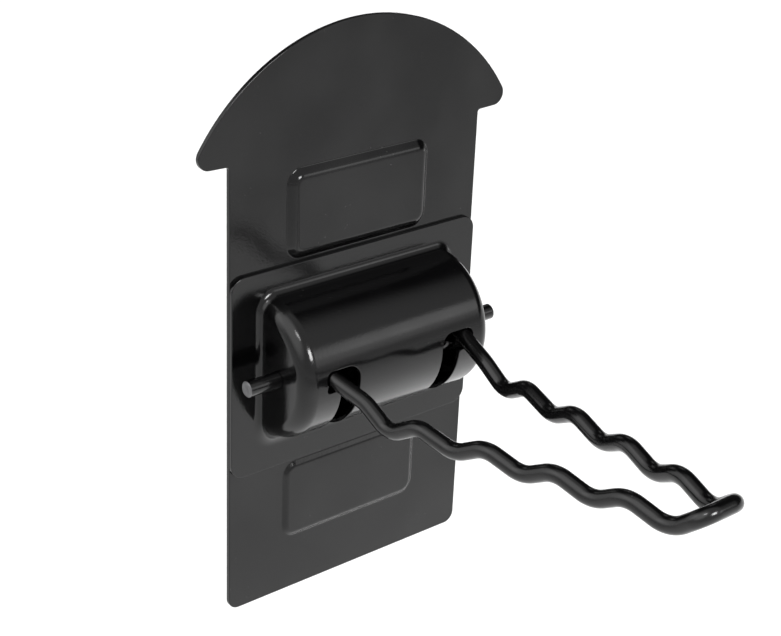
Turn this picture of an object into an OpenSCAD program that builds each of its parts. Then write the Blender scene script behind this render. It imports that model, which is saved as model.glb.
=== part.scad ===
// Bicycle wall rack: a pressed steel back plate, a drum-shaped front cover with two
// J-shaped slots, a hinge pin carried by two hidden brackets and a folding wavy wire hook.
// Millimetres. X to the right, Y into the wall, Z up.
// Origin: middle of the plate's bottom edge, on the wall face.

/* [Back plate] */
// Width of the plate between its straight sides
plate_w = 150; // [146:1:156]
// Height from the bottom edge to the underside of the wings
plate_h = 239; // [236:1:242]
// Sheet thickness of the plate
plate_t = 2.5; // [2:0.1:3]
// Radius of the arched top edge
arch_r = 107.6; // [106:0.2:109]
// Height of the centre of the arched top edge
arch_z = 190.4; // [189:0.2:192]
// Rounding at the tip of each wing
tip_r = 6; // [4:0.5:7]
// Rounding at the plate's two bottom corners
plate_corner_r = 6; // [3:0.5:10]
// Diameter of the four wall screw holes
screw_hole_d = 6.5; // [5:0.1:7]
// Distance between screw holes, left to right
screw_dx = 36; // [30:1:38]
// Distance between screw holes, bottom to top
screw_dz = 48; // [44:1:50]

/* [Pressed pads] */
// Half width of both pads at their foot
pad_half_w = 43; // [38:0.5:46]
// Height the upper pad stands proud
upper_pad_rise = 3.2; // [1.5:0.1:4]
// Bottom edge of the upper pad
upper_pad_z0 = 185; // [185:0.5:188]
// Top edge of the upper pad
upper_pad_z1 = 231.5; // [226:0.5:234]
// Height the lower pad stands proud
lower_pad_rise = 1.5; // [1:0.1:2.5]
// Bottom edge of the lower pad
lower_pad_z0 = 30.5; // [24:0.5:36]
// Top edge of the lower pad
lower_pad_z1 = 75; // [68:0.5:75]
// Run of the pads' sloping walls
pad_run = 4.6; // [3:0.1:5.2]

/* [Front cover] */
// Sheet thickness of the cover
cover_t = 2; // [1.5:0.1:2.4]
// Height of the cover's flange
flange_h = 107; // [104:0.5:107]
// Rounding at the flange's corners
flange_corner_r = 7.5; // [4:0.5:10]
// Outer radius of the drum
drum_r = 36.5; // [36.2:0.1:37]
// Height of the drum's centre above the pin
drum_lift = 0.1; // [0:0.1:0.8]
// Half length of the drum, to the outside of its end walls
drum_half = 58.4; // [57:0.1:58.6]
// Outside rounding where the drum turns into its end walls
drum_edge_r = 8; // [6:0.5:8.5]
// Concave rounding where the drum meets the flange
foot_r = 7; // [5:0.5:7.5]

/* [Slots] */
// Distance of both slots' inner edge from the middle
slot_in = 25.8; // [25.4:0.1:26]
// Width of the tail that runs down round the drum
tail_w = 11.2; // [10:0.1:11.4]
// Width of the pocket that the hook rests in
pocket_w = 19.6; // [19.4:0.1:19.8]
// Depth of the pocket's sill below the pin's centre
sill_drop = 2.4; // [2.2:0.1:3]
// Height of the pocket's top above the pin's centre
pocket_top = 8.2; // [8.1:0.1:9]
// Distance from the wall at which the tail ends
tail_end = 13.5; // [12.5:0.5:14]

/* [Hinge] */
// Diameter of the hinge pin
pin_d = 8; // [7.9:0.02:8]
// Length of the hinge pin
pin_len = 153; // [140:1:160]
// Height of the pin above the bottom edge
pin_z = 134; // [133.5:0.1:134.5]
// Distance of the pin from the wall
pin_y = 18.8; // [18.6:0.1:19]
// Thickness of the two brackets
bracket_t = 2.5; // [2:0.1:3]
// Distance of the brackets' inner face from the middle
bracket_in = 48.9; // [48.6:0.1:49.2]

/* [Hook] */
// Diameter of the hook's wire
wire_d = 8; // [7.8:0.05:8]
// Distance of each eye from the middle
eye_x = 42.5; // [42.2:0.1:42.8]
// Running clearance between an eye and the pin, on the radius
eye_gap = 0.06; // [0.04:0.01:0.1]
// Angle that each eye wraps round the pin
eye_wrap = 262; // [220:1:265]
// How fast the arms come together, per millimetre of reach
arm_taper = 0.155; // [0.152:0.001:0.156]
// Bend radius of the waves, on the wire's centre line
wave_r = 15.5; // [12:0.5:16]
// Reach of the cross bar at the tip
tip_y = 241.2; // [239:0.2:243]
// Height of the cross bar above the pin
tip_z = 19; // [18:0.5:20]
// Bend radius at the tip's two corners
tip_bend_r = 7.3; // [6.5:0.1:7.5]

/* [Hidden] */
$fn = 64;
black = [0.09, 0.09, 0.1];
steel = [0.2, 0.2, 0.21];
flange_z0 = pin_z - flange_h / 2 - 3.8;
flange_y = plate_t + cover_t;
drum_z = pin_z + drum_lift;
eye_r = (pin_d + wire_d) / 2 + 0.03 + eye_gap;
arm_x0 = 48.1;
bend_d = wire_d + 0.06;
lap = 0.3;

// Part to draw

// points along an arc
function arc(c, r, a0, a1, n) =
    [for (i = [0:n]) c + r * [cos(a0 + (a1 - a0) * i / n), sin(a0 + (a1 - a0) * i / n)]];

// outline of a rectangle with rounded corners, from corner a to corner b
function soft_rect(a, b, r, n = 8) = concat(
    arc([a[0] + r, a[1] + r], r, 180, 270, n),
    arc([b[0] - r, a[1] + r], r, 270, 360, n),
    arc([b[0] - r, b[1] - r], r, 0, 90, n),
    arc([a[0] + r, b[1] - r], r, 90, 180, n)
);

// stands an X-Z outline up, from distance y0 to distance y1 in front of the wall
module upright(y0, y1) {
    translate([0, -y0, 0])
        rotate([90, 0, 0])
            linear_extrude(height = y1 - y0)
                children();
}

// ---------- back plate ----------

tip_cz = plate_h + tip_r;
tip_cx = sqrt(pow(arch_r - tip_r, 2) - pow(tip_cz - arch_z, 2));
tip_a = atan2(tip_cz - arch_z, tip_cx);

module plate_outline() {
    polygon(concat(
        arc([-plate_w / 2 + plate_corner_r, plate_corner_r], plate_corner_r, 180, 270, 8),
        arc([plate_w / 2 - plate_corner_r, plate_corner_r], plate_corner_r, 270, 360, 8),
        [[plate_w / 2, plate_h]],
        arc([tip_cx, tip_cz], tip_r, -90, tip_a, 10),
        arc([0, arch_z], arch_r, tip_a + 1.5, 180 - tip_a - 1.5, 60),
        arc([-tip_cx, tip_cz], tip_r, 180 - tip_a, 270, 10),
        [[-plate_w / 2, plate_h]]
    ));
}

// a shallow pad with sloping walls: foot at distance y0 from the wall, face at y0 + rise
module pad(half_w, z0, z1, y0, rise, foot_corner) {
    hull()
        for (x = [-1, 1], z = [z0 + foot_corner, z1 - foot_corner])
            translate([x * (half_w - foot_corner), -y0, z])
                rotate([90, 0, 0])
                    cylinder(h = rise, r1 = foot_corner, r2 = foot_corner - pad_run, $fn = 32);
}

module back_plate() {
    color(black)
        difference() {
            union() {
                upright(0, plate_t)
                    plate_outline();
                pad(pad_half_w, upper_pad_z0, upper_pad_z1, plate_t, upper_pad_rise, 6);
                pad(pad_half_w, lower_pad_z0, lower_pad_z1, plate_t, lower_pad_rise, 6);
            }
            // hollow backs of the pressed pads
            pad(pad_half_w - 1, upper_pad_z0 + 1, upper_pad_z1 - 1, 0, upper_pad_rise, 5.4);
            pad(pad_half_w - 1, lower_pad_z0 + 1, lower_pad_z1 - 1, 0, lower_pad_rise, 5.4);
            // wall screw holes, hidden by the cover
            for (x = [-1, 1], z = [-1, 1])
                translate([x * screw_dx / 2, 1, pin_z + z * screw_dz / 2])
                    rotate([90, 0, 0])
                        cylinder(h = plate_t + 2, d = screw_hole_d);
        }
}

// ---------- front cover ----------

// half section of a drum of radius r: radius along X, half length along Y
module drum_section(r, half, edge) {
    for (s = [-1, 1])
        scale([1, s]) {
            square([r - edge, half]);
            square([r, half - edge]);
            translate([r - edge, half - edge])
                circle(r = edge);
        }
}

// front half of the drum's sheet
module drum_shell() {
    translate([0, -flange_y, drum_z])
        rotate([180, 0, 0])
            rotate([0, 90, 0])
                rotate_extrude(angle = 180)
                    difference() {
                        drum_section(drum_r, drum_half, drum_edge_r);
                        drum_section(drum_r - cover_t, drum_half - cover_t, drum_edge_r - cover_t);
                    }
}

// concave foot section: out from the drum along X, up from the flange along Y
module foot_section() {
    polygon(concat(
        [[-1.5, -0.5], [foot_r, -0.5]],
        arc([foot_r, foot_r], foot_r, -90, -168, 8),
        [[-0.3, foot_r], [-1.5, foot_r]]
    ));
}

module foot_ring() {
    a = drum_half - drum_edge_r;
    b = drum_r - drum_edge_r;
    translate([0, -flange_y, drum_z])
        rotate([90, 0, 0]) {
            // along the top and bottom of the drum
            for (t = [0, 180])
                rotate(t)
                    translate([0, drum_r, 0])
                        rotate([90, 0, 90])
                            linear_extrude(height = 2 * a, center = true)
                                foot_section();
            // along the end walls
            for (t = [90, -90])
                rotate(t)
                    translate([0, drum_half, 0])
                        rotate([90, 0, 90])
                            linear_extrude(height = 2 * b, center = true)
                                foot_section();
            // round the four corners
            for (x = [0, 1], y = [0, 1])
                mirror([x, 0, 0])
                    mirror([0, y, 0])
                        translate([a, b, 0])
                            rotate_extrude(angle = 90)
                                translate([drum_edge_r, 0])
                                    foot_section();
        }
}

// opening for one arm of the hook, on the right-hand side
module slot() {
    x0 = slot_in;
    x1 = slot_in + pocket_w;
    z0 = pin_z - sill_drop;
    z1 = pin_z + pocket_top;
    upright(25, 60)
        polygon(concat(
            [[x0, z0]],
            arc([x1 - 1.6, z0 + 1.6], 1.6, 270, 360, 6),
            arc([x1 - 3.5, z1 - 3.5], 3.5, 0, 90, 10),
            arc([x0 + 6.5, z1 - 6.5], 6.5, 90, 180, 12)
        ));
    translate([slot_in, -60, pin_z - 50])
        cube([tail_w, 60 - tail_end - tail_w / 2, 50.5 - sill_drop]);
    translate([slot_in + tail_w / 2, -tail_end - tail_w / 2, pin_z - 50])
        cylinder(h = 30, d = tail_w);
}

module front_cover() {
    color(black)
        difference() {
            union() {
                difference() {
                    upright(plate_t, flange_y)
                        polygon(soft_rect(
                            [-plate_w / 2, flange_z0],
                            [plate_w / 2, flange_z0 + flange_h],
                            flange_corner_r
                        ));
                    upright(plate_t - 1, flange_y + 1)
                        polygon(soft_rect(
                            [-drum_half + cover_t + 0.5, drum_z - drum_r + cover_t + 0.5],
                            [drum_half - cover_t - 0.5, drum_z + drum_r - cover_t - 0.5],
                            drum_edge_r - cover_t
                        ));
                }
                drum_shell();
                foot_ring();
            }
            slot();
            mirror([1, 0, 0])
                slot();
            // pin holes in both end walls
            translate([-drum_half - 5, -pin_y, pin_z])
                rotate([0, 90, 0])
                    cylinder(h = 2 * drum_half + 10, d = pin_d + 0.2);
        }
}

// ---------- hinge ----------

// right-hand bracket: a foot welded to the plate and an ear that carries the pin
module pivot_bracket() {
    color(steel)
        difference() {
            union() {
                translate([bracket_in, 0, pin_z])
                    rotate([90, 0, 90])
                        linear_extrude(height = bracket_t)
                            polygon(concat(
                                [[-plate_t, 13], [-plate_t, -13]],
                                arc([-pin_y, 0], 11, -60, -300, 20)
                            ));
                translate([bracket_in - 14, -plate_t - bracket_t, pin_z - 12])
                    cube([14 + bracket_t / 2, bracket_t, 24]);
            }
            translate([bracket_in - 1, -pin_y, pin_z])
                rotate([0, 90, 0])
                    cylinder(h = bracket_t + 2, d = pin_d - 0.02);
        }
}

module left_pivot_bracket() {
    mirror([1, 0, 0])
        pivot_bracket();
}

module right_pivot_bracket() {
    pivot_bracket();
}

module hinge_pin() {
    color(steel)
        translate([0, -pin_y, pin_z])
            rotate([0, 90, 0]) {
                cylinder(h = pin_len - 1, d = pin_d, center = true);
                for (s = [0, 1])
                    mirror([0, 0, s])
                        translate([0, 0, pin_len / 2 - 0.5])
                            cylinder(h = 0.5, d1 = pin_d, d2 = pin_d - 1);
            }
}

// ---------- hook ----------

function unit(v) = v / norm(v);

// a point of the left arm at reach s from the wall and height z above the pin
function arm_point(p) = [-(arm_x0 - arm_taper * p[0]), -p[0], pin_z + p[1]];

// the arm leaves the top of its eye at this angle below level
leave_a = 13.2;
leave = [-eye_x, -pin_y - eye_r * sin(leave_a), pin_z + eye_r * cos(leave_a)];
// inside the cover the arm turns inward at this reach
knee_s = 30;
// valleys and peaks of the zigzag that the waves are bent from: reach, height above the pin
waves = [
    [76.2, -10.2], [92.9, -0.1], [114.8, -4.4], [131.2, 4.9], [152.1, 0],
    [168.5, 9], [188.6, 3.6], [204.7, 12.6], [226.6, 6.6]
];
path = concat(
    [leave],
    [[-eye_x, -knee_s, leave[2] - (knee_s + leave[1]) * tan(leave_a)]],
    [[-37.3, -59.3, pin_z - 1.27]],
    [for (w = waves) arm_point(w)],
    [arm_point([tip_y, tip_z])],
    [[0, -tip_y, pin_z + tip_z]]
);
radii = concat([0, 25, 28, 12, 12], [for (i = [2:8]) wave_r], [tip_bend_r, 0]);

// the bend at vertex i of the path
function dir_in(i) = unit(path[i] - path[i - 1]);
function dir_out(i) = unit(path[i + 1] - path[i]);
function turn(i) = acos(dir_in(i) * dir_out(i));
function setback(i) = radii[i] == 0 ? 0 : radii[i] * tan(turn(i) / 2);

// places local X, Y and Z along the given unit vectors at point o
module frame(x, y, z, o) {
    multmatrix([
        [x[0], y[0], z[0], o[0]],
        [x[1], y[1], z[1], o[1]],
        [x[2], y[2], z[2], o[2]],
        [0, 0, 0, 1]
    ])
        children();
}

// a length of wire from a to b, run a little way into the bends at both ends
module straight(a, b) {
    z = unit(b - a);
    x = unit(cross([0.3, 0.1, 1], z));
    frame(x, cross(z, x), z, a - z * lap)
        cylinder(h = norm(b - a) + 2 * lap, d = wire_d);
}

module bend(i) {
    u = dir_in(i);
    v = dir_out(i);
    n = unit(v - (u * v) * u);
    frame(-n, u, cross(-n, u), path[i] - u * setback(i) + n * radii[i])
        rotate_extrude(angle = turn(i))
            translate([radii[i], 0])
                circle(d = bend_d);
}

// start and end of the straight length that leads to vertex i
function run_start(i) = path[i - 1] + (i == 1 ? [0, 0, 0] : dir_out(i - 1) * setback(i - 1));
function run_end(i) = path[i] - dir_in(i) * setback(i);

module half_hook() {
    for (i = [1:len(path) - 2])
        straight(run_start(i), run_end(i));
    for (i = [1:len(path) - 2])
        bend(i);
    // open eye, wrapped backward round the pin
    c = [0, -sin(leave_a), cos(leave_a)];
    u = [0, cos(leave_a), sin(leave_a)];
    frame(c, u, cross(c, u), [-eye_x, -pin_y, pin_z])
        rotate_extrude(angle = eye_wrap)
            translate([eye_r, 0])
                circle(d = bend_d);
}

module hook_wire() {
    tip = run_start(len(path) - 1);
    color(black) {
        half_hook();
        mirror([1, 0, 0])
            half_hook();
        straight(tip, [-tip[0], tip[1], tip[2]]);
    }
}

back_plate();
front_cover();
left_pivot_bracket();
right_pivot_bracket();
hinge_pin();
hook_wire();
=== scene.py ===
import math

import bpy
import numpy as np
from mathutils import Matrix, Vector
from mathutils.geometry import delaunay_2d_cdt


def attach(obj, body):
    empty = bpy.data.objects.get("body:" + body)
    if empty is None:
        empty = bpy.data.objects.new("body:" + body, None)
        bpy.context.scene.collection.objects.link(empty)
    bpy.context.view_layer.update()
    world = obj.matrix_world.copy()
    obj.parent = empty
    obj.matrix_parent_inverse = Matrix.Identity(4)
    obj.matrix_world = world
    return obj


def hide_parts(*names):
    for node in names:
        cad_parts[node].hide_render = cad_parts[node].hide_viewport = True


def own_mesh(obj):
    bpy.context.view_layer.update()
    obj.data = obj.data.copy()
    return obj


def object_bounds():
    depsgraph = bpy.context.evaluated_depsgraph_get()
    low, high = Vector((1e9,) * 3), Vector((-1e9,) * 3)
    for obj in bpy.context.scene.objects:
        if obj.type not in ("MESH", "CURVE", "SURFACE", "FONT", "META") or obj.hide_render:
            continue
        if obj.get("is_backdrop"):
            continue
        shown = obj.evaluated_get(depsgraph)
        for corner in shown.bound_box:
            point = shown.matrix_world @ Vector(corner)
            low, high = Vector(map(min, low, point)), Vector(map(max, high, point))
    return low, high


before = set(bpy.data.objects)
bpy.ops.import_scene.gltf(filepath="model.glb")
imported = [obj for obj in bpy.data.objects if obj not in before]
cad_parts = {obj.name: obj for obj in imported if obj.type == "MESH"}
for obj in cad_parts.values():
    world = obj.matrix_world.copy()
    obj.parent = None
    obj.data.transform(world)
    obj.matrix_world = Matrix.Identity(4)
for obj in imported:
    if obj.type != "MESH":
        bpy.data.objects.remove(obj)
CAD_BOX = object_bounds()

MM = 0.001  # the shapes below are worked out in millimetres

# ---------------------------------------------------------------- sizes, as in the CAD model

PLATE_HALF = 75.0
PLATE_T = 2.5
WING_Z = 239.0
WING_SLOPE = 2.0  # degrees that the wings' undersides rise outward
ARCH_R, ARCH_Z = 107.6, 190.4
TIP_R = 6.0
CORNER_R = 6.0
SCREW_R, SCREW_X, SCREW_Z = 3.25, 18.0, 24.0
PLATE_EDGE, SCREW_EDGE = 0.45, 0.3  # rounding of the sheet's outline and of its screw holes

PAD_HALF, PAD_LEAST_CORNER = 43.0, 0.6
UPPER_PAD = dict(z0=185.0, z1=231.5, rise=3.2, corner=8.5, foot_r=1.4, top_r=5.0, angle=42)
LOWER_PAD = dict(z0=30.5, z1=75.0, rise=1.5, corner=8.0, foot_r=1.6, top_r=3.6, angle=30)

COVER_T = 2.0
FLANGE_Y = PLATE_T + COVER_T
FLANGE_Z0, FLANGE_Z1 = 76.7, 183.7
FLANGE_R = 7.5
COVER_EDGE, PIN_HOLE_EDGE = 0.4, 0.35  # rounding of the cover's outline and slots, and of its pin holes
DRUM_R, DRUM_HALF, DRUM_EDGE = 36.5, 58.4, 8.0
FOOT_TOP, FOOT_SIDE, FOOT_BOTTOM = 4.5, 3.5, 10.0  # rounding above the drum, at its ends and below it
DRUM_ROWS, DRUM_COLUMNS, END_COLUMNS = 72, 48, 10  # steps round the drum, along it and round its ends

PIN_Y, PIN_Z, PIN_R, PIN_LEN = 18.8, 134.0, 4.0, 153.0
PIN_CHAMFER, PIN_GAP = 0.5, 0.1
DISH_R, DISH_DEPTH = 1.2, 0.12  # the shallow dish in each end of the pin
DRUM_LIFT = 0.1
DRUM_Z = PIN_Z + DRUM_LIFT
SLOT_IN, TAIL_W, POCKET_W = 25.8, 11.2, 19.6
SILL, POCKET_TOP, TAIL_END = -2.4, 8.2, 13.5
POCKET_IN_R, POCKET_OUT_R, SILL_OUT_R, SILL_IN_R = 6.5, 3.5, 1.6, 1.8

WIRE_R = 4.0
EYE_X, EYE_R, EYE_WRAP, EYE_POINTS = 42.5, 8.09, 262.0, 44
LEAVE = 13.2  # degrees below level at which the wire leaves the eye
KNEE_Y, KNEE_BEND = 30.0, 25.0
SHOULDER, SHOULDER_BEND = (37.3, 59.3, -1.27), 28.0
ARM_X0, ARM_TAPER = 48.1, 0.155
# corners of the waves: how far in front of the wall, and how far above the pin
WAVES = [
    (76.2, -10.2), (92.9, -0.1), (114.8, -4.4), (131.2, 4.9), (152.1, 0.0),
    (168.5, 9.0), (188.6, 3.6), (204.7, 12.6), (226.6, 6.6),
]
FIRST_WAVES_R, WAVE_R = 12.0, 15.5
TIP_Y, TIP_Z, TIP_BEND = 241.2, 19.0, 7.3


# ---------------------------------------------------------------- mesh building


class Skin:
    """Faces with an exact normal at every corner. Corners at one place become one vertex."""

    def __init__(self):
        self.co, self.no, self.faces, self.mats = [], [], [], []

    def points(self, co, no):
        start = len(self.co)
        self.co.extend(np.asarray(co, float).reshape(-1, 3))
        self.no.extend(np.asarray(no, float).reshape(-1, 3))
        return start

    def face(self, ids, mat=0):
        self.faces.append(list(ids))
        self.mats.append(mat)

    def strip(self, rows, closed=False, mat=0):
        """Quads between rows of (points, normals), each row as long as the next."""
        starts = [self.points(co, no) for co, no in rows]
        n = len(rows[0][0])
        for a, b in zip(starts, starts[1:]):
            for i in range(n if closed else n - 1):
                j = (i + 1) % n
                self.face((a + i, a + j, b + j, b + i), mat)

    def build(self, name, materials):
        co, no = np.array(self.co), np.array(self.no)
        no /= np.linalg.norm(no, axis=1, keepdims=True)
        _, first, same = np.unique(
            np.round(co, 4), axis=0, return_index=True, return_inverse=True
        )
        same = same.reshape(-1)
        faces, corners, mats = [], [], []
        for ids, mat in zip(self.faces, self.mats):
            ids = [k for n, k in enumerate(ids) if same[k] != same[ids[n - 1]]]
            if len(ids) < 3:
                continue
            p = co[ids]
            turn = np.cross(p, np.roll(p, -1, axis=0)).sum(0)
            if np.dot(turn, no[ids].sum(0)) < 0:
                ids.reverse()
            faces.append([int(same[k]) for k in ids])
            corners.extend(ids)
            mats.append(mat)
        mesh = bpy.data.meshes.new(name)
        mesh.from_pydata((co[first] * MM).tolist(), [], faces)
        mesh.polygons.foreach_set("use_smooth", [True] * len(faces))
        mesh.polygons.foreach_set("material_index", mats)
        for m in materials:
            mesh.materials.append(m)
        mesh.update()
        mesh.normals_split_custom_set(no[corners].tolist())
        obj = bpy.data.objects.new(name, mesh)
        bpy.context.scene.collection.objects.link(obj)
        return obj


def arc(cx, cy, r, a0, a1, n, hollow=False):
    """Points on an arc, with the outline's outward normals. A hollow arc is a concave corner."""
    a = np.radians(np.linspace(a0, a1, n + 1))
    out = np.stack([np.cos(a), np.sin(a)], 1)
    return np.array([cx, cy]) + r * out, (-out if hollow else out)


def circle(cx, cy, r):
    """A whole circle of 48 points, with its outward normals."""
    return arc(cx, cy, r, 0, 352.5, 47)


def join(*arcs):
    """One outline from arcs in a row."""
    return np.concatenate([p for p, _ in arcs]), np.concatenate([n for _, n in arcs])


def soft_polygon(points, radii, n=8):
    """An anticlockwise polygon with rounded corners, as points and outward normals."""
    pts = np.array(points, float)
    arcs = []
    for i, r in enumerate(radii):
        p, before, after = pts[i], pts[i - 1], pts[(i + 1) % len(pts)]
        u, v = p - before, after - p
        u, v = u / np.linalg.norm(u), v / np.linalg.norm(v)
        side = np.sign(u[0] * v[1] - u[1] * v[0])
        half = math.acos(np.clip(u @ v, -1, 1)) / 2
        start = p - u * r * math.tan(half)
        centre = start + side * r * np.array([-u[1], u[0]])
        a0 = math.degrees(math.atan2(*(start - centre)[::-1]))
        arcs.append(arc(*centre, r, a0, a0 + side * math.degrees(2 * half), n, side < 0))
    return join(*arcs)


def soft_rect(x0, x1, y0, y1, r, n=8):
    """A rectangle with rounded corners, as points and outward normals."""
    return soft_polygon([(x0, y0), (x1, y0), (x1, y1), (x0, y1)], [r] * 4, n)


def fill(loops, extra=()):
    """Triangles of the area inside the first loop and outside the others. extra holds inner points."""
    pts, edges = [], []
    for loop in loops:
        start = len(pts)
        pts += [tuple(p) for p in loop]
        edges += [(start + i, start + (i + 1) % len(loop)) for i in range(len(loop))]
    pts += [tuple(p) for p in extra]
    co, _, tris, _, _, _ = delaunay_2d_cdt([Vector(p) for p in pts], edges, [], 0, 1e-7)
    co = np.array([tuple(c) for c in co])
    tris = np.array(tris)
    mid = co[tris].mean(1)
    keep = inside(mid, loops[0])
    for loop in loops[1:]:
        keep &= ~inside(mid, loop)
    return co, tris[keep]


def inside(p, loop):
    """Which points lie inside a closed loop."""
    a, b = np.asarray(loop), np.roll(loop, -1, axis=0)
    x, y = p[:, 0, None], p[:, 1, None]
    crosses = (a[:, 1] > y) != (b[:, 1] > y)
    with np.errstate(divide="ignore", invalid="ignore"):
        at = (b[:, 0] - a[:, 0]) * (y - a[:, 1]) / (b[:, 1] - a[:, 1]) + a[:, 0]
    return (crosses & (x < at)).sum(1) % 2 == 1


def edge_profile(thick, front, back, n=4):
    """The rounded edge of a sheet: (how far in from the outline, depth, normal out, normal forward)."""
    steps = [math.pi / 2 * i / n for i in range(n + 1)]
    rows = [
        (front * (1 - math.sin(t)), front * (1 - math.cos(t)), math.sin(t), math.cos(t))
        for t in steps
    ]
    rows += [
        (back * (1 - math.cos(t)), thick - back * (1 - math.sin(t)), math.cos(t), -math.sin(t))
        for t in steps
    ]
    return rows


def flat(p, y):
    """2D points in the X-Z plane, at distance y in front of the wall."""
    p = np.asarray(p)
    return np.stack([p[:, 0], np.full(len(p), -y), p[:, 1]], 1)


def facing(p, n):
    """The same normal for every point."""
    return np.tile(n, (len(p), 1)).astype(float)


FRONT, BACK = (0, -1, 0), (0, 1, 0)


def flat_fill(skin, loops, y, normal):
    """A flat face at distance y in front of the wall, inside the first loop and outside the others."""
    co, tris = fill(loops)
    start = skin.points(flat(co, y), facing(co, normal))
    for t in tris:
        skin.face(t + start)


def flat_rim(skin, outline, thick, front_y, front, back, hole=False):
    """The edge of a flat sheet round an outline, or round a hole in it."""
    p, n = outline
    sign = -1.0 if hole else 1.0
    rows = []
    for inset, depth, out, fwd in edge_profile(thick, front, back):
        q = flat(p - n * inset * sign, front_y - depth)
        m = np.stack([n[:, 0] * out * sign, np.full(len(n), -fwd), n[:, 1] * out * sign], 1)
        rows.append((q, m))
    skin.strip(rows, closed=True)


# ---------------------------------------------------------------- back plate


def plate_outline():
    """The plate: square below, a notch under each wing, round wing tips and one arch."""
    slope = math.radians(WING_SLOPE)
    along = np.array([math.cos(slope), math.sin(slope)])
    base = np.array([PLATE_HALF, WING_Z]) + TIP_R * np.array([-along[1], along[0]])
    rel = base - (0, ARCH_Z)
    reach = ARCH_R - TIP_R
    b = rel @ along
    t = -b + math.sqrt(b * b - rel @ rel + reach * reach)
    tip = base + along * t
    turn = math.degrees(math.atan2(tip[1] - ARCH_Z, tip[0]))
    notch = 1.5
    lean = math.degrees(slope)
    nx = PLATE_HALF + notch
    nz = WING_Z + (notch * along[1] - notch) / along[0]
    right = [
        arc(PLATE_HALF - CORNER_R, CORNER_R, CORNER_R, -90, 0, 12),
        arc(nx, nz, notch, 180, 90 + lean, 6, hollow=True),
        arc(tip[0], tip[1], TIP_R, lean - 90, turn, 16),
    ]
    arch = arc(0, ARCH_Z, ARCH_R, turn, 180 - turn, 120)
    left = [(p * (-1, 1), n * (-1, 1)) for p, n in right]
    left = [(p[::-1], n[::-1]) for p, n in reversed(left)]
    return join(*right, arch, *left)


def pad_rows(z0, z1, rise, corner, foot_r, top_r, angle):
    """Rings of a pressed pad from its foot to its flat face: (outline, height, slope in radians)."""
    top = math.radians(angle)
    rows = [(foot_r * math.sin(t), foot_r * (1 - math.cos(t)), t) for t in np.linspace(0, top, 7)]
    d, h, _ = rows[-1]
    rest = rise - h - top_r * (1 - math.cos(top))
    d2 = d + rest / math.tan(top)
    for t in np.linspace(top, 0, 7):
        rows.append((d2 + top_r * (math.sin(top) - math.sin(t)), rise - top_r * (1 - math.cos(t)), t))
    for inset, height, slope in rows:
        r = max(corner - inset, PAD_LEAST_CORNER)
        out = soft_rect(-PAD_HALF + inset, PAD_HALF - inset, z0 + inset, z1 - inset, r, 10)
        yield out, height, slope


def pressed_pad(skin, spec):
    """Both faces of a pad. Gives back the loops where it leaves the sheet's flat front and back."""
    front, back, loops = [], [], []
    for (p, n), height, slope in pad_rows(**spec):
        forward = np.full(len(n), -math.cos(slope))
        m = np.stack([n[:, 0] * math.sin(slope), forward, n[:, 1] * math.sin(slope)], 1)
        q = flat(p, PLATE_T + height)
        front.append((q, m))
        back.append((q - m * PLATE_T, -m))
    for rows, normal in ((front, FRONT), (back, BACK)):
        skin.strip(rows, closed=True)
        q = rows[-1][0]
        start = skin.points(q, facing(q, normal))
        skin.face(range(start, start + len(q)))
        loops.append(rows[0][0][:, [0, 2]])
    return loops


def back_plate(coat):
    """The sheet with its four screw holes and both pressed pads."""
    skin = Skin()
    p, n = outline = plate_outline()
    flat_rim(skin, outline, PLATE_T, PLATE_T, PLATE_EDGE, PLATE_EDGE)
    holes = []
    for x in (-SCREW_X, SCREW_X):
        for z in (-SCREW_Z, SCREW_Z):
            hole = circle(x, PIN_Z + z, SCREW_R)
            flat_rim(skin, hole, PLATE_T, PLATE_T, SCREW_EDGE, SCREW_EDGE, hole=True)
            holes.append(hole[0] + hole[1] * SCREW_EDGE)
    pads = [pressed_pad(skin, spec) for spec in (UPPER_PAD, LOWER_PAD)]
    body = p - n * PLATE_EDGE
    flat_fill(skin, [body, *holes, *(front for front, _ in pads)], PLATE_T, FRONT)
    flat_fill(skin, [body, *holes, *(back for _, back in pads)], 0, BACK)
    return skin.build("pressed_back_plate", [coat])


# ---------------------------------------------------------------- front cover


def drum_point(x, r, nx, nr, phi, depth=0.0):
    """A point of the drum's sheet and its normal. phi runs from the top over the front and down."""
    c, s = np.cos(phi), np.sin(phi)
    no = np.stack([nx + 0 * phi, -nr * s, nr * c], -1)
    co = np.stack([x + 0 * phi, -FLANGE_Y - r * s, DRUM_Z + r * c], -1)
    return co - no * depth, no


def both_faces(skin, rows, closed=False):
    """The outer and the inner face of the cover's sheet."""
    skin.strip(rows, closed)
    skin.strip([(co - no * COVER_T, -no) for co, no in rows], closed)


def drum_columns():
    """The drum's two rounded ends, each from left to right: x, radius and normal."""
    a, b = DRUM_HALF - DRUM_EDGE, DRUM_R - DRUM_EDGE
    left = []
    for k in np.radians(np.linspace(0, 90, END_COLUMNS + 1)):
        out, up = math.cos(k), math.sin(k)
        left.append((-a - DRUM_EDGE * out, b + DRUM_EDGE * up, -out, up))
    right = [(-x, r, -nx, nr) for x, r, nx, nr in reversed(left)]
    return left, right


def foot_radius(nr, top):
    """The foot's rounding is wide below the drum, tighter above it and tightest at the end walls."""
    return FOOT_SIDE + ((FOOT_TOP if top else FOOT_BOTTOM) - FOOT_SIDE) * nr * nr


def contact(r, nr, top):
    """The angle at which the foot's rounding touches the drum."""
    foot = foot_radius(nr, top)
    return math.asin(foot / (r + foot * nr))


def around(r, nr, rows):
    """Angles from the foot above the drum to the foot below it."""
    return np.linspace(contact(r, nr, True), math.pi - contact(r, nr, False), rows + 1)


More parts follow.
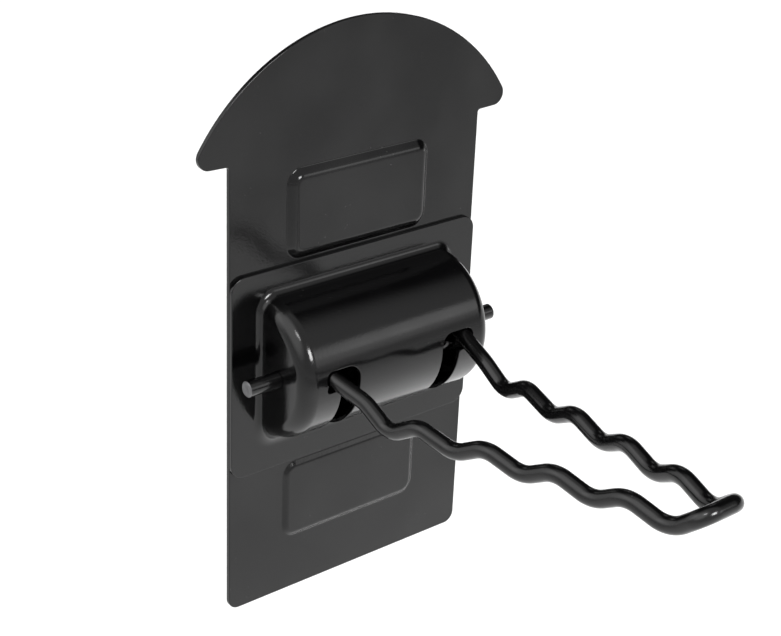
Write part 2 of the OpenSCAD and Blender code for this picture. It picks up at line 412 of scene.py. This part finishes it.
def foot_arc(co, no, foot, n=10):
    """The concave rounding from a point of the drum down to the flange."""
    centre = co + no * foot
    start = -no
    end = np.array([0.0, 1.0, 0.0])
    angle = math.acos(np.clip(start @ end, -1, 1))
    out = []
    for k in range(n + 1):
        t = k / n
        d = (math.sin((1 - t) * angle) * start + math.sin(t * angle) * end) / math.sin(angle)
        out.append((centre + d * foot, -d))
    return out


def refine(outline, step):
    """The same outline with its long sides split up, so that it can be wrapped round the drum."""
    p, n = outline
    points, normals = [], []
    for a, b, m, m2 in zip(p, np.roll(p, -1, axis=0), n, np.roll(n, -1, axis=0)):
        count = max(1, math.ceil(np.linalg.norm(b - a) / step))
        for k in range(count):
            points.append(a + (b - a) * k / count)
            normals.append(m if k == 0 else (m + m2) / 2)
    return np.array(points), np.array(normals)


def slot_outline():
    """The right-hand slot, unrolled: X across, and the way round the drum from its top."""
    def at(z):
        return DRUM_R * math.acos((z - DRUM_LIFT) / DRUM_R)

    top, sill = at(POCKET_TOP), at(SILL)
    end = DRUM_R * (math.pi - math.asin((TAIL_END - FLANGE_Y) / DRUM_R))
    x0, x1, x2 = SLOT_IN, SLOT_IN + TAIL_W, SLOT_IN + POCKET_W
    half = TAIL_W / 2 - 0.01  # a hair less than half, so that both corners of the tail fit
    pts = [(x0, top), (x2, top), (x2, sill), (x1, sill), (x1, end), (x0, end)]
    radii = [POCKET_IN_R, POCKET_OUT_R, SILL_OUT_R, SILL_IN_R, half, half]
    return refine(soft_polygon(pts, radii, 12), step=1.0)


def drum_skin(skin):
    """The drum without its end walls: both rounded ends, and the front with both slots cut through."""
    for columns in drum_columns():
        strips = [
            drum_point(x, r, nx, nr, around(r, nr, DRUM_ROWS))
            for x, r, nx, nr in columns
        ]
        both_faces(skin, strips)
    a = DRUM_HALF - DRUM_EDGE
    phi = around(DRUM_R, 1.0, DRUM_ROWS)
    xs = np.linspace(-a, a, DRUM_COLUMNS + 1)
    edge = [(x, DRUM_R * phi[0]) for x in xs] + [(a, DRUM_R * k) for k in phi[1:]]
    edge += [(x, DRUM_R * phi[-1]) for x in xs[::-1][1:]] + [(-a, DRUM_R * k) for k in phi[::-1][1:-1]]
    p, n = slot_outline()
    slots = [(p, n), (p * (-1, 1), n * (-1, 1))]
    holes = [q + m * COVER_EDGE for q, m in slots]
    grid = np.array([(x, DRUM_R * k) for x in xs[1:-1] for k in phi[1:-1]])
    clear = np.ones(len(grid), bool)
    for q, m in slots:
        clear &= ~inside(grid, q + m * 0.9)
    co, tris = fill([edge, *holes], grid[clear])
    outer, normal = drum_point(co[:, 0], DRUM_R, 0.0, 1.0, co[:, 1] / DRUM_R)
    for sign, depth in ((1, 0.0), (-1, COVER_T)):
        start = skin.points(outer - normal * depth, normal * sign)
        for t in tris:
            skin.face(t + start)
    for q, m in slots:
        strip = []
        for inset, depth, out, fwd in edge_profile(COVER_T, COVER_EDGE, COVER_EDGE):
            at = q + m * inset
            co, no = drum_point(at[:, 0], DRUM_R, 0.0, 1.0, at[:, 1] / DRUM_R, depth)
            phi_at = at[:, 1] / DRUM_R
            down = np.stack([0 * phi_at, -np.cos(phi_at), -np.sin(phi_at)], 1)
            away = m[:, :1] * np.array([[1.0, 0, 0]]) + m[:, 1:] * down
            strip.append((co, no * fwd - away * out))
        skin.strip(strip, closed=True)
    return xs


def end_walls(skin):
    """Both flat ends of the drum, each with a hole for the pin."""
    b = DRUM_R - DRUM_EDGE
    phi = around(b, 0.0, DRUM_ROWS)
    ring = np.stack([b * np.cos(phi), b * np.sin(phi)], 1)
    hole, out = circle(-DRUM_LIFT, PIN_Y - FLANGE_Y, PIN_R + PIN_GAP)
    co, tris = fill([ring, hole + out * PIN_HOLE_EDGE])
    for side in (-1, 1):
        for x, sign in ((DRUM_HALF, 1), (DRUM_HALF - COVER_T, -1)):
            q = np.stack([np.full(len(co), x * side), -FLANGE_Y - co[:, 1], DRUM_Z + co[:, 0]], 1)
            start = skin.points(q, facing(q, (side * sign, 0, 0)))
            for t in tris:
                skin.face(t + start)
        strip = []
        for inset, depth, o, fwd in edge_profile(COVER_T, PIN_HOLE_EDGE, PIN_HOLE_EDGE):
            q = hole + out * inset
            x = np.full(len(q), (DRUM_HALF - depth) * side)
            strip.append((
                np.stack([x, -FLANGE_Y - q[:, 1], DRUM_Z + q[:, 0]], 1),
                np.stack([np.full(len(q), fwd * side), out[:, 1] * o, -out[:, 0] * o], 1),
            ))
        skin.strip(strip, closed=True)


def foot_and_flange(skin, xs):
    """The rounding from the drum to the flange, and the flat flange round it."""
    left, right = drum_columns()
    loop = []
    for flip in (1, -1):  # along the top of the drum, then along its bottom
        side = []
        columns = left[:-1] + [(x, DRUM_R, 0.0, 1.0) for x in xs] + right[1:]
        for x, r, nx, nr in columns:
            f = contact(r, nr, flip > 0)
            phi = np.array(f if flip > 0 else math.pi - f)
            co, no = drum_point(x, r, nx, nr, phi)
            side.append(foot_arc(co, no, foot_radius(nr, flip > 0)))
        loop += side if flip > 0 else side[::-1]
    rows = []
    for k in range(len(loop[0])):
        rows.append((np.array([c[k][0] for c in loop]), np.array([c[k][1] for c in loop])))
    both_faces(skin, rows, closed=True)
    foot = rows[-1][0][:, [0, 2]]
    p, n = outline = soft_rect(-PLATE_HALF, PLATE_HALF, FLANGE_Z0, FLANGE_Z1, FLANGE_R, 12)
    flat_rim(skin, outline, COVER_T, FLANGE_Y, COVER_EDGE, COVER_EDGE)
    flat_fill(skin, [p - n * COVER_EDGE, foot], FLANGE_Y, FRONT)
    flat_fill(skin, [p - n * COVER_EDGE, foot], PLATE_T, BACK)


def front_cover(coat):
    """The flange and the drum that rises from it, all of one sheet."""
    skin = Skin()
    xs = drum_skin(skin)
    end_walls(skin)
    foot_and_flange(skin, xs)
    return skin.build("drawn_front_cover", [coat])


# ---------------------------------------------------------------- hook and pin


def arm_point(s, z):
    """A point of the left arm's middle line, s in front of the wall and z above the pin."""
    return np.array([-(ARM_X0 - ARM_TAPER * s), -s, PIN_Z + z])


def hook_corners():
    """The left arm's corners from its eye to the middle of the cross bar, and their bend radii."""
    t = math.radians(LEAVE)
    leave = np.array([-EYE_X, -PIN_Y - EYE_R * math.sin(t), PIN_Z + EYE_R * math.cos(t)])
    pts = [leave, np.array([-EYE_X, -KNEE_Y, leave[2] - (KNEE_Y + leave[1]) * math.tan(t)])]
    pts.append(np.array([-SHOULDER[0], -SHOULDER[1], PIN_Z + SHOULDER[2]]))
    pts += [arm_point(*bend) for bend in WAVES]
    pts.append(arm_point(TIP_Y, TIP_Z))
    pts.append(np.array([0, -TIP_Y, PIN_Z + TIP_Z]))
    waves = [FIRST_WAVES_R] * 2 + [WAVE_R] * (len(WAVES) - 2)
    return pts, [0, KNEE_BEND, SHOULDER_BEND, *waves, TIP_BEND, 0]


def bent_line(pts, radii, step=0.9):
    """Points along straight runs joined by true arcs."""
    line = [pts[0]]

    def run(to):
        gap = np.linalg.norm(to - line[-1])
        n = max(1, round(gap / (step * 2)))
        a = line[-1]
        line.extend(a + (to - a) * k / n for k in range(1, n + 1))

    for i in range(1, len(pts) - 1):
        u, v = pts[i] - pts[i - 1], pts[i + 1] - pts[i]
        u, v = u / np.linalg.norm(u), v / np.linalg.norm(v)
        turn = math.acos(np.clip(u @ v, -1, 1))
        r = radii[i]
        run(pts[i] - u * r * math.tan(turn / 2))
        n = v - (u @ v) * u
        n /= np.linalg.norm(n)
        centre = line[-1] + n * r
        count = max(4, round(r * turn / step))
        for k in range(1, count + 1):
            a = turn * k / count
            line.append(centre + r * (math.sin(a) * u - math.cos(a) * n))
    run(pts[-1])
    return line


def hook_line():
    """The whole wire's middle line, from the left eye round the cross bar to the right eye."""
    pts, radii = hook_corners()
    half = bent_line(pts, radii)
    t = math.radians(LEAVE)
    out = np.array([0, -math.sin(t), math.cos(t)])
    along = np.array([0, math.cos(t), math.sin(t)])
    centre = np.array([-EYE_X, -PIN_Y, PIN_Z])
    eye = [
        centre + EYE_R * (math.cos(a) * out + math.sin(a) * along)
        for a in np.radians(np.linspace(EYE_WRAP, 0, EYE_POINTS))[:-1]
    ]
    left = np.array(eye + half)
    return np.concatenate([left, left[-2::-1] * (-1, 1, 1)])


def tube(skin, line, radius, sides=36, ends=0.5):
    """A round wire along a line, with softly chamfered ends."""
    tangent = np.gradient(line, axis=0)
    tangent /= np.linalg.norm(tangent, axis=1, keepdims=True)
    side = np.array([1.0, 0, 0]) - tangent[0] * tangent[0][0]
    rows, a = [], np.linspace(0, 2 * math.pi, sides, endpoint=False)
    for p, t in zip(line, tangent):
        side = side - t * (side @ t)
        side /= np.linalg.norm(side)
        other = np.cross(t, side)
        n = np.cos(a)[:, None] * side + np.sin(a)[:, None] * other
        rows.append((p + n * radius, n))
    skin.strip(rows, closed=True)
    for (co, n), t in ((rows[0], -tangent[0]), (rows[-1], tangent[-1])):
        middle = co.mean(0)
        slope = (n + t) / math.sqrt(2)
        lip = middle + n * (radius - ends) + t * ends
        skin.strip([(co, slope), (lip, slope)], closed=True)
        start = skin.points(lip, facing(lip, t))
        skin.face(range(start, start + len(lip)))


def hook_wire(coat):
    """Both arms, their eyes and the cross bar, all of one wire."""
    skin = Skin()
    tube(skin, hook_line(), WIRE_R)
    return skin.build("wavy_wire_hook", [coat])


def hinge_pin(coat, bare):
    """The pin: a turned rod with chamfered ends, bare metal on its cut faces."""
    skin = Skin()
    a = np.linspace(0, 2 * math.pi, 64, endpoint=False)
    ring = np.stack([0 * a, np.cos(a), np.sin(a)], 1)
    centre = np.array([0, -PIN_Y, PIN_Z])
    xs = np.linspace(-PIN_LEN / 2 + PIN_CHAMFER, PIN_LEN / 2 - PIN_CHAMFER, 40)
    skin.strip([(centre + ring * PIN_R + (x, 0, 0), ring) for x in xs], closed=True)
    for side in (-1, 1):
        out = np.array([side, 0, 0])
        x = side * PIN_LEN / 2
        slope = (ring + out) / math.sqrt(2)
        outer = centre + ring * PIN_R + (x - side * PIN_CHAMFER, 0, 0)
        lip = centre + ring * (PIN_R - PIN_CHAMFER) + (x, 0, 0)
        skin.strip([(outer, slope), (lip, slope)], closed=True, mat=1)
        dish = centre + ring * DISH_R + (x - side * DISH_DEPTH, 0, 0)
        skin.strip([(lip, facing(lip, out)), (dish, facing(dish, out))], closed=True, mat=1)
        start = skin.points(dish, facing(dish, out))
        skin.face(range(start, start + len(dish)), 1)
    return skin.build("turned_hinge_pin", [coat, bare])


# ---------------------------------------------------------------- materials


class Nodes:
    """A short way to wire a procedural material."""

    def __init__(self, name):
        self.mat = bpy.data.materials.new(name)
        self.mat.use_nodes = True
        self.tree = self.mat.node_tree
        self.bsdf = self.tree.nodes["Principled BSDF"]
        self.place = self.tree.nodes.new("ShaderNodeTexCoord").outputs["Object"]

    def add(self, kind, inputs=None, **props):
        node = self.tree.nodes.new(kind)
        for k, v in props.items():
            setattr(node, k, v)
        for k, v in (inputs or {}).items():
            self.plug(node.inputs[k], v)
        return node

    def plug(self, socket, v):
        if isinstance(v, bpy.types.NodeSocket):
            self.tree.links.new(v, socket)
        else:
            socket.default_value = v

    def noise(self, scale, detail=3.0, rough=0.5):
        return self.add(
            "ShaderNodeTexNoise",
            {"Vector": self.place, "Scale": scale, "Detail": detail, "Roughness": rough},
        ).outputs["Fac"]

    def span(self, value, a, b, c, d):
        """value from a to b becomes c to d."""
        return self.add(
            "ShaderNodeMapRange",
            {"Value": value, "From Min": a, "From Max": b, "To Min": c, "To Max": d},
        ).outputs["Result"]

    def math(self, op, a, b=0.0, clamp=False):
        return self.add("ShaderNodeMath", {0: a, 1: b}, operation=op, use_clamp=clamp).outputs[0]

    def mix(self, fac, a, b):
        node = self.add("ShaderNodeMix", data_type="RGBA")
        self.plug(node.inputs["Factor"], fac)
        self.plug(node.inputs[6], a)
        self.plug(node.inputs[7], b)
        return node.outputs[2]

    def bump(self, height, distance, strength=1.0, normal=None):
        inputs = {"Height": height, "Distance": distance, "Strength": strength}
        if normal is not None:
            inputs["Normal"] = normal
        return self.add("ShaderNodeBump", inputs).outputs["Normal"]


def powder_coat(name, rough, peel, painted_sheen=0.0, ior=1.5):
    """Smooth black powder coat: faint orange peel, slow gloss changes, sparse dust, wear, and lighter
    clouds of painted sheen in the colour.
    """
    k = Nodes(name)
    slow = k.noise(38.0, 2.0)
    fine = k.noise(900.0, 2.0)
    grit = k.noise(2600.0, 1.0)
    specks = k.add(
        "ShaderNodeTexVoronoi", {"Vector": k.place, "Scale": 260.0}, feature="F1"
    ).outputs["Distance"]
    dust = k.math("MULTIPLY", k.span(specks, 0.10, 0.04, 0.0, 1.0), k.span(slow, 0.52, 0.66, 0.0, 1.0))
    worn = k.span(k.add("ShaderNodeNewGeometry").outputs["Pointiness"], 0.56, 0.66, 0.0, 1.0)
    colour = k.mix(slow, (0.0008, 0.0008, 0.0009, 1), (0.0017, 0.0016, 0.0018, 1))
    # painted sheen: random lighter clouds in the colour that stand in for patchy reflections
    sheen_cloud = k.span(k.noise(17.0, 2.0), 0.40, 0.62, 0.0, painted_sheen)
    colour = k.mix(sheen_cloud, colour, (0.020, 0.020, 0.020, 1))
    colour = k.mix(k.math("MULTIPLY", dust, 0.35), colour, (0.13, 0.13, 0.125, 1))
    colour = k.mix(k.math("MULTIPLY", worn, 0.10), colour, (0.10, 0.10, 0.10, 1))
    k.plug(k.bsdf.inputs["Base Color"], colour)
    r = k.math("ADD", k.span(slow, 0.3, 0.7, rough - 0.03, rough + 0.04), k.span(dust, 0, 1, 0, 0.15))
    k.plug(k.bsdf.inputs["Roughness"], r)
    k.bsdf.inputs["IOR"].default_value = ior
    peeled = k.bump(fine, 0.000025 * peel)
    k.plug(k.bsdf.inputs["Normal"], k.bump(grit, 0.000008 * peel, normal=peeled))
    return k.mat


def bare_steel(name, tone, rough):
    """Cut steel with fine turning marks and faint stains."""
    k = Nodes(name)
    stain = k.noise(420.0, 4.0, 0.6)
    scratch = k.noise(5200.0, 2.0)
    dark = tuple(c * 0.72 for c in tone) + (1,)
    k.plug(k.bsdf.inputs["Base Color"], k.mix(k.span(stain, 0.4, 0.7, 0, 1), tone + (1,), dark))
    k.plug(k.bsdf.inputs["Roughness"], k.span(stain, 0.3, 0.7, rough - 0.05, rough + 0.1))
    k.bsdf.inputs["Metallic"].default_value = 1.0
    k.plug(k.bsdf.inputs["Normal"], k.bump(scratch, 0.000012))
    return k.mat


def blackened_steel(name):
    """Black oxide: dark, patchy and a little rough."""
    k = Nodes(name)
    patch = k.noise(150.0, 5.0, 0.6)
    grain = k.noise(3000.0, 2.0)
    k.plug(
        k.bsdf.inputs["Base Color"],
        k.mix(k.span(patch, 0.35, 0.7, 0, 1), (0.020, 0.020, 0.022, 1), (0.045, 0.043, 0.041, 1)),
    )
    k.plug(k.bsdf.inputs["Roughness"], k.span(patch, 0.3, 0.7, 0.35, 0.6))
    k.bsdf.inputs["Metallic"].default_value = 0.6
    k.plug(k.bsdf.inputs["Normal"], k.bump(grain, 0.00002))
    return k.mat


def pale_floor():
    """Matt off-white."""
    k = Nodes("pale_floor")
    tone = k.noise(3.0, 3.0)
    k.plug(k.bsdf.inputs["Base Color"], k.mix(tone, (0.86, 0.86, 0.86, 1), (0.90, 0.90, 0.90, 1)))
    k.bsdf.inputs["Roughness"].default_value = 0.7
    k.plug(k.bsdf.inputs["Normal"], k.bump(k.noise(200.0), 0.0002))
    return k.mat


# ---------------------------------------------------------------- the object

# only the plate's coat gets painted sheen: lighter clouds in its colour that stand in for patchy
# reflections
plate_coat = powder_coat("satin_black_plate", 0.13, 1.0, painted_sheen=0.30, ior=1.41)
sheet_coat = powder_coat("satin_black_cover", 0.13, 1.0, ior=1.46)
wire_coat = powder_coat("satin_black_wire", 0.19, 0.8)
pin_coat = powder_coat("satin_black_pin", 0.16, 0.6)
cut_steel = bare_steel("cut_steel", (0.17, 0.17, 0.175), 0.5)
bracket_steel = blackened_steel("blackened_steel")

PIECES = [
    (back_plate(plate_coat), "rack", "back_plate", "black_powder_coat"),
    (front_cover(sheet_coat), "rack", "front_cover", "black_powder_coat"),
    (hinge_pin(pin_coat, cut_steel), "rack", "hinge_pin", "pin_steel"),
    (hook_wire(wire_coat), "hook", "hook_wire", "black_wire_coat"),
]
for piece, body, node, finish in PIECES:
    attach(piece, body)
    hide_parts(node)

# the hook's wire gets a mesh of its own; the real arms are squeezed together into the slots' tails as
# the hook folds
HOOK = PIECES[3][0]
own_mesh(HOOK)

for side in ("left", "right"):
    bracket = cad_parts[side + "_pivot_bracket"]
    bracket.data.materials.clear()
    bracket.data.materials.append(bracket_steel)
    soften = bracket.modifiers.new("softened_edges", "BEVEL")
    soften.width = 0.0003
    soften.segments = 2
    soften.limit_method = "ANGLE"
    soften.angle_limit = math.radians(40)


# ---------------------------------------------------------------- floor, light and camera


FLOOR_HALF, FLOOR_Z = 4.0, -0.42


def floor():
    me = bpy.data.meshes.new("floor")
    s, z = FLOOR_HALF, FLOOR_Z
    me.from_pydata([(-s, -s, z), (s, -s, z), (s, s, z), (-s, s, z)], [], [(0, 1, 2, 3)])
    me.materials.append(pale_floor())
    obj = bpy.data.objects.new("floor", me)
    bpy.context.scene.collection.objects.link(obj)
    obj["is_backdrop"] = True


def aim(azimuth, elevation):
    """A direction away from the object. Azimuth 0 is straight out from the wall, negative is left."""
    a, e = math.radians(azimuth), math.radians(elevation)
    return Vector((math.sin(a) * math.cos(e), -math.cos(a) * math.cos(e), math.sin(e)))


# the camera, solved from the photo
AZIMUTH, ELEVATION, ROLL = -40.3, 25.31, 2.5
CAMERA_AT = Vector((-0.4981, -0.6177, 0.5193))
LENS = 81.3


def view_axes():
    """The camera's right, up and backward directions."""
    roll = math.radians(ROLL)
    back = aim(AZIMUTH, ELEVATION)
    right = (-back).cross(Vector((0, 0, 1))).normalized()
    up = right.cross(-back)
    x = math.cos(roll) * right + math.sin(roll) * up
    y = -math.sin(roll) * right + math.cos(roll) * up
    return x, y, back


def camera():
    x, y, z = view_axes()
    data = bpy.data.cameras.new("camera")
    data.lens = LENS
    data.sensor_width = 36.0
    data.sensor_fit = "HORIZONTAL"
    data.clip_start = 0.01
    obj = bpy.data.objects.new("camera", data)
    m = Matrix((x, y, z)).transposed().to_4x4()
    m.translation = CAMERA_AT
    obj.matrix_world = m
    bpy.context.scene.collection.objects.link(obj)
    bpy.context.scene.camera = obj


LAMPS_AIM_AT = Vector((0, -0.03, PIN_Z * MM))


def soft_box(name, azimuth, elevation, width, height, radiance, far=1.6):
    """A rectangular lamp that faces the middle of the object. The radiance sets the power."""
    data = bpy.data.lights.new(name, "AREA")
    data.shape = "RECTANGLE"
    data.size, data.size_y = width, height
    data.energy = radiance * math.pi * width * height
    obj = bpy.data.objects.new(name, data)
    out = aim(azimuth, elevation)
    obj.location = LAMPS_AIM_AT + out * far
    obj.rotation_euler = out.to_track_quat("Z", "Y").to_euler()
    bpy.context.scene.collection.objects.link(obj)


# lamps that whiten the floor: name, place, size, watts
FLOOR_LAMPS = [
    ("floor_behind", (1.3, 1.6, 1.6), 3.5, 46.0),
    ("floor_in_front", (1.5, -2.0, 1.6), 2.0, 8.0),
    ("floor_near", (0.48, -0.16, 0.0), 0.25, 1.1),
]


def floor_lamp(name, at, size, watts):
    """A lamp that faces down. The black coat doesn't mirror it."""
    data = bpy.data.lights.new(name, "AREA")
    data.size = size
    data.energy = watts
    obj = bpy.data.objects.new(name, data)
    obj.location = at
    obj.visible_glossy = False
    bpy.context.scene.collection.objects.link(obj)


def lamps():
    soft_box("key_box", 3, 29, 0.50, 0.42, 22.0)
    soft_box("high_box", -48, 52, 0.34, 0.26, 9.0)
    for lamp in FLOOR_LAMPS:
        floor_lamp(*lamp)


DARKEST = 0.02  # brightness of the room's darkest part
# bright and dark parts of the room: azimuth, elevation, inner and outer angle, added brightness
ROOM = [
    (40, 20, 3, 9, 1.5),  # strip light in front, to the right
    (34, 12, 2, 9, 0.8),  # the strip's lower end
    (138, 33, 3, 9, 0.6),  # soft light behind, to the right
    (100, 57, 8, 24, -0.08),  # dark ceiling on the right
    (-80, 42, 12, 42, 1.3),  # bright wall on the left
    (-135, 24, 10, 34, 1.2),  # bright wall behind, to the left
]


def studio():
    """White below the horizon, brighter behind the object, and a dim room above with the ROOM parts."""
    world = bpy.data.worlds.new("room")
    bpy.context.scene.world = world
    world.use_nodes = True
    t = world.node_tree
    coord = t.nodes.new("ShaderNodeTexCoord").outputs["Generated"]

    def toward(direction):
        node = t.nodes.new("ShaderNodeVectorMath")
        node.operation = "DOT_PRODUCT"
        t.links.new(coord, node.inputs[0])
        node.inputs[1].default_value = direction
        return node.outputs["Value"]

    def ramp(value, a, b, c, d):
        node = t.nodes.new("ShaderNodeMapRange")
        node.interpolation_type = "SMOOTHSTEP"
        t.links.new(value, node.inputs["Value"])
        for key, v in (("From Min", a), ("From Max", b), ("To Min", c), ("To Max", d)):
            if isinstance(v, bpy.types.NodeSocket):
                t.links.new(v, node.inputs[key])
            else:
                node.inputs[key].default_value = v
        return node.outputs["Result"]

    def math_node(operation, a, b):
        node = t.nodes.new("ShaderNodeMath")
        node.operation = operation
        for socket, v in zip(node.inputs, (a, b)):
            if isinstance(v, bpy.types.NodeSocket):
                t.links.new(v, socket)
            else:
                socket.default_value = v
        return node.outputs[0]

    near = toward(aim(AZIMUTH, ELEVATION))
    below = ramp(near, -0.75, 0.25, 2.3, 0.92)
    above = ramp(near, -0.05, 0.33, 0.03, 0.68)
    level = ramp(toward((0, 0, 1)), -0.20, 0.12, below, above)
    for azimuth, elevation, inner, outer, extra in ROOM:
        rim, core = math.cos(math.radians(outer)), math.cos(math.radians(inner))
        patch = ramp(toward(aim(azimuth, elevation)), rim, core, 0.0, extra)
        level = math_node("MAXIMUM", math_node("ADD", level, patch), DARKEST)
    bg = t.nodes["Background"]
    bg.inputs["Color"].default_value = (1, 1, 1, 1)
    t.links.new(level, bg.inputs["Strength"])
    bpy.context.scene.view_settings.view_transform = "Standard"


floor()
camera()
studio()
lamps()

[[list(map(float, corner)) for corner in b] for b in (CAD_BOX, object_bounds())]
